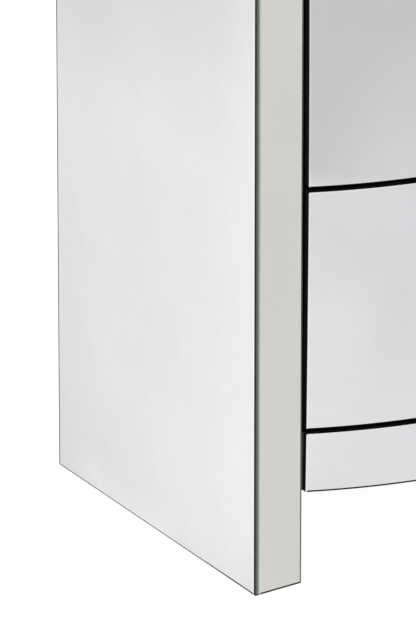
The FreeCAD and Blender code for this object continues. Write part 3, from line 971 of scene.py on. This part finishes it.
def back_panel_screws():
    """The screws that hold the back panel to its cleats and to the bottom board."""
    panel_set = bmesh.new()
    rise = (DECK_UNDERSIDE - SCREW_INSET - BOTTOM_MIDDLE) / (CLEAT_SCREWS - 1)
    places = [(side * CLEAT_MIDDLE, BOTTOM_MIDDLE + rise * step)
              for side in (-1, 1) for step in range(CLEAT_SCREWS)] + [(0, BOTTOM_MIDDLE)]
    for count, (x, height) in enumerate(places):
        driven(panel_set, screw(CASE_SCREW, CASE_HEAD_DEPTH), (x, CASE_BACK, height),
               (0, -1, 0), TURN * count)
    finished("back_panel_screw_set", panel_set, [screw_zinc], "back_panel_screws")


def runner_and_knob_screws():
    """The screws of the runners, in the case and in each drawer, and the knobs' bolts."""
    case_set = bmesh.new()
    for name, (low, high) in DRAWERS.items():
        drawer_set = bmesh.new()
        ends = [(side, depth) for side in (-1, 1) for depth in SCREW_DEPTHS]
        for count, (side, depth) in enumerate(ends, 1):
            driven(case_set, screw(RUNNER_SCREW, RUNNER_STEEL),
                   (side * (OPENING_HALF - RUNNER_STEEL), depth, low + RUNNER_RISE),
                   (side, 0, 0), TURN * count)
            driven(drawer_set, screw(RUNNER_SCREW, RUNNER_STEEL),
                   (side * (BOX_HALF + RUNNER_STEEL), depth, low + RUNNER_RISE),
                   (-side, 0, 0), -TURN * count)
        height = (low + high) / 2
        head_seat = bow_y(BOLT_HEAD[0], BOARD_BACK)
        driven(drawer_set, bolt(head_seat - rose_seat(height) + BOLT_GRIP),
               (0, head_seat, height), (0, -1, 0), TURN)
        finished(name + "_drawer_screw_set", drawer_set, [screw_zinc], name + "_drawer_screws")
    finished("case_runner_screw_set", case_set, [screw_zinc], "case_runner_screws")


back_panel_screws()
runner_and_knob_screws()

# ---------------------------------------------------------------- knobs

KNOB_SIDES = 12

# Radius and distance from the rose's seat, in millimetres, along the turned metal.
KNOB_METAL = ((0.0, 0.0), (11.0, 0.0), (11.0, 1.0), (10.4, 2.0), (8.6, 2.8), (7.0, 3.0),
              (5.3, 3.6), (4.7, 4.8), (4.7, 7.0), (5.2, 8.6), (6.0, 9.2), (6.0, 9.8),
              (0.0, 9.8))
# Radius and distance in millimetres, and turn in half steps, of each ring of corners.
KNOB_RINGS = ((7.0, 0.0, 0), (11.4, 5.0, 1), (15.0, 9.0, 0), (15.0, 11.5, 0), (12.2, 15.2, 1),
              (9.2, 19.4, 0), (7.0, CRYSTAL_LENGTH / MM, 1))


def knob(name, low, high):
    """Turned chrome base and a cut crystal in front of it."""
    height = (low + high) / 2
    seat = rose_seat(height)
    bm = bmesh.new()
    points = [bm.verts.new((radius * MM, seat - away * MM, height)) for radius, away in KNOB_METAL]
    edges = [bm.edges.new(pair) for pair in zip(points, points[1:])]
    bmesh.ops.spin(bm, geom=points + edges, cent=(0, 0, height), axis=(0, 1, 0),
                   angle=math.tau, steps=48, use_merge=True)
    bmesh.ops.remove_doubles(bm, verts=bm.verts, dist=CLOSE)
    bmesh.ops.recalc_face_normals(bm, faces=bm.faces)
    finished(name + "_knob_metal", bm, [chrome], name + "_knob_base", smooth=40)

    bm = bmesh.new()
    back = seat - CRYSTAL_SEAT
    for radius, away, turn in KNOB_RINGS:
        for step in range(KNOB_SIDES):
            angle = (step + turn / 2) * math.tau / KNOB_SIDES
            bm.verts.new((radius * MM * math.cos(angle), back - away * MM,
                          height + radius * MM * math.sin(angle)))
    made = bmesh.ops.convex_hull(bm, input=bm.verts)
    bmesh.ops.delete(bm, geom=list({*made["geom_interior"], *made["geom_unused"]}),
                     context="VERTS")
    bmesh.ops.dissolve_limit(bm, angle_limit=math.radians(1), verts=bm.verts, edges=bm.edges)
    bmesh.ops.recalc_face_normals(bm, faces=bm.faces)
    finished(name + "_knob_cut_crystal", bm, [crystal], name + "_knob_crystal", smooth=1)


for name, (low, high) in DRAWERS.items():
    knob(name, low, high)

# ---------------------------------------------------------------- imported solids

for node, shown in frame["nodes"].items():
    shown.data.materials.clear()
    shown.data.materials.append(SLOT_FINISH[SLOT_OF[node]])

# ---------------------------------------------------------------- studio

# The floor's own colour, its extra light to the camera, how much of a mirrored tone comes
# from the lamps, its tone far out, and its half width.
FLOOR = 0.25
LIFT = 0.965
BOUNCE = 0.205
DISTANT = 0.985
FLOOR_HALF = 40.0

# Parts across and along Y of a level line of sight from the camera, which the mirrors turn
# forwards or to the left, and how far left the middle of the left stile is.
SIGHT_ACROSS = 0.553
SIGHT_ALONG = 0.833
STILE_MIDDLE = 0.27


def tone_ahead(finish, x, from_side, forward):
    """Tone of the floor in front of the chest as the mirrors see it, by how far it is from the
    left stile: painted light and shade that falls off away from the stile.
    """
    stile = x + STILE_MIDDLE
    from_stile = (stile * stile + forward * forward).root()
    # Left of the line the floor darkens slowly as painted shade, then steps down to a far tone
    # with a painted soft glow.
    lean = 0.03 - 0.065 * x.ramp(-0.32, -0.1) * from_stile.ramp(0.2, 0.4)
    near = (0.875 + lean * (1 - from_stile.ramp(0.58, 0.88))
            - 0.07 * from_stile.ramp(0.2, 0.8))
    far = 0.66 - 0.04 * from_stile.ramp(1.0, 1.6)
    glow = 0.09 * (x + 0.55).ramp(0.0, 0.45) * (1 - from_stile.ramp(0.9, 1.6))
    step = from_stile.ramp(0.92, 0.98)
    left_of_line = near * (1 - step) + (far + glow) * step
    # Right of a line that runs forwards from the left stile it has nearly one tone, with painted
    # light close to the stile's foot.
    past_line = (-(from_side * SIGHT_ALONG + forward * SIGHT_ACROSS)).ramp(-0.25, -0.02)
    right_of_line = 0.89 - 0.03 * from_stile.ramp(0.04, 0.2) - 0.04 * from_stile.ramp(0.1, 1.2)
    front = left_of_line * (1 - past_line) + right_of_line * past_line
    return finish.colour(front * (0.99 + 0.006 * step), front * 0.995,
                         front * (1.01 - 0.018 * step))


def tone_beside(finish, y, from_side):
    """Tone of the floor left of the chest as the mirrors see it, lightest next to the front
    corner: painted light and shade.
    """
    # How far out along a line of sight a place lies, and how far back that line left the mirror.
    out = from_side / SIGHT_ACROSS
    behind = (y - out * SIGHT_ALONG + 0.107).at_least(0.0).at_most(0.4)
    away = (out - 0.95).at_least(0.0).at_most(0.6)
    # A painted contact shadow by the foot where lines of sight leave far back, a painted lift of
    # light just by the foot, and painted light next to the front corner.
    painted_contact_shadow = (1 - out.ramp(0.03, 0.35)) * behind
    painted_lift = behind.ramp(0.1, 0.17) - behind.ramp(0.25, 0.31)
    at_foot = 1 - out.ramp(0.0, 0.1)
    corner = 1 - behind.ramp(0.0, 0.07)
    beside = (0.995 - 0.27 * behind - (0.2 + 0.35 * behind) * away - 0.2 * painted_contact_shadow
              + 0.07 * painted_lift * at_foot + 0.025 * corner)
    return finish.colour(beside, beside, beside * 0.992)


def studio_floor():
    """A pale floor, white to the camera, whose tone in the mirrors is painted light and shade
    falling off softly around the chest.
    """
    finish = Finish("studio_floor")
    x, y, _ = finish.parts(finish.place())
    from_side = -(x + HALF_WIDTH)
    ahead = tone_ahead(finish, x, from_side, STILE_FRONT - y)
    left = tone_beside(finish, y, from_side)
    to_left = (y + 0.5 * from_side + 0.25).ramp(0.0, 0.3) * (from_side + 0.02).ramp(0.0, 0.02)
    around = finish.mix(ahead, left, to_left)
    # Further out the floor runs into the room's own tone.
    further = (x * x + y * y).root()
    around = finish.mix(around, rgb(DISTANT, DISTANT, DISTANT), further.ramp(1.9, 4.5))
    tone = finish.add("ShaderNodeMix", {"data_type": "RGBA", "blend_type": "SUBTRACT"},
                      {0: 1.0, 6: around, 7: rgb(BOUNCE, BOUNCE, BOUNCE)}, 2)

    camera, mirrored = finish.seen_by()
    matt = finish.add("ShaderNodeBsdfDiffuse", None, {"Color": rgb(FLOOR, FLOOR, FLOOR)})
    lit = finish.mix(tone, rgb(LIFT, LIFT, LIFT), camera)
    glowing = finish.add("ShaderNodeEmission", None,
                         {"Color": lit, "Strength": (camera + mirrored).at_most(1.0)})
    finish.add_output(finish.add("ShaderNodeAddShader", None, {0: matt, 1: glowing}))
    return finish.material


bm = bmesh.new()
bmesh.ops.create_grid(bm, x_segments=1, y_segments=1, size=FLOOR_HALF)
floor_mesh = bpy.data.meshes.new("studio_floor")
bm.to_mesh(floor_mesh)
bm.free()
floor_mesh.materials.append(studio_floor())
floor = bpy.data.objects.new("studio_floor", floor_mesh)
bpy.context.scene.collection.objects.link(floor)


def studio_room():
    """White to the camera, pale in the mirrors and a little darker overhead, and a soft fill."""
    world = bpy.data.worlds.new("studio")
    world.use_nodes = True
    bpy.context.scene.world = world
    room = Finish("studio_room", world.node_tree)
    height = room.parts(room.add("ShaderNodeTexCoord", output="Generated"))[Z]
    pale = room.mix(rgb(0.90, 0.90, 0.895), rgb(0.78, 0.78, 0.78), height.ramp(0.0, 0.35))
    pale = room.mix(pale, rgb(2.0, 2.0, 2.0), height.ramp(0.90, 0.97))
    camera, mirrored = room.seen_by()
    fill = room.add("ShaderNodeBackground", None, {"Color": rgb(0.96, 0.98, 1.0), "Strength": 0.5})
    reflected = room.add("ShaderNodeBackground", None, {"Color": pale})
    white = room.add("ShaderNodeBackground", None, {"Color": rgb(1.0, 1.0, 1.0)})
    rest = room.add("ShaderNodeMixShader", None, {0: mirrored, 1: fill, 2: reflected})
    shown = room.add("ShaderNodeMixShader", None, {0: camera, 1: rest, 2: white})
    room.add_output(shown, "ShaderNodeOutputWorld")


studio_room()


def softbox(name, place, aim, across, watts):
    """A square soft lamp that looks at a point."""
    data = bpy.data.lights.new(name, "AREA")
    data.shape = "SQUARE"
    data.size = across
    data.energy = watts
    lamp = bpy.data.objects.new(name, data)
    lamp.location = place
    lamp.rotation_euler = (Vector(aim) - Vector(place)).to_track_quat("-Z", "Y").to_euler()
    lamp.visible_glossy = False
    bpy.context.scene.collection.objects.link(lamp)


LOW_AIM = (0, 0, 0.4)
softbox("softbox_left", (-2.6, -2.6, 3.2), LOW_AIM, 2.4, 75)
softbox("softbox_right", (2.8, -2.2, 2.6), LOW_AIM, 2.4, 40)
softbox("softbox_back", (0.6, 3.0, 3.0), (0, 0, 0.5), 2.0, 25)

# ---------------------------------------------------------------- camera

CAMERA_PLACE = (-5.0375, -7.3269, 4.2410)
CAMERA_DIP = 0.42882
CAMERA_HEADING = 0.57700
LENS_MM = 576.92
SENSOR_MM = 36.0

lens = bpy.data.cameras.new("camera")
lens.sensor_width = SENSOR_MM
lens.lens = LENS_MM
lens.clip_start = 0.1
lens.clip_end = 100.0
camera = bpy.data.objects.new("camera", lens)
camera.location = CAMERA_PLACE
camera.rotation_euler = (math.pi / 2 - CAMERA_DIP, 0.0, -CAMERA_HEADING)
bpy.context.scene.collection.objects.link(camera)
bpy.context.scene.camera = camera
bpy.context.scene.view_settings.view_transform = "Standard"
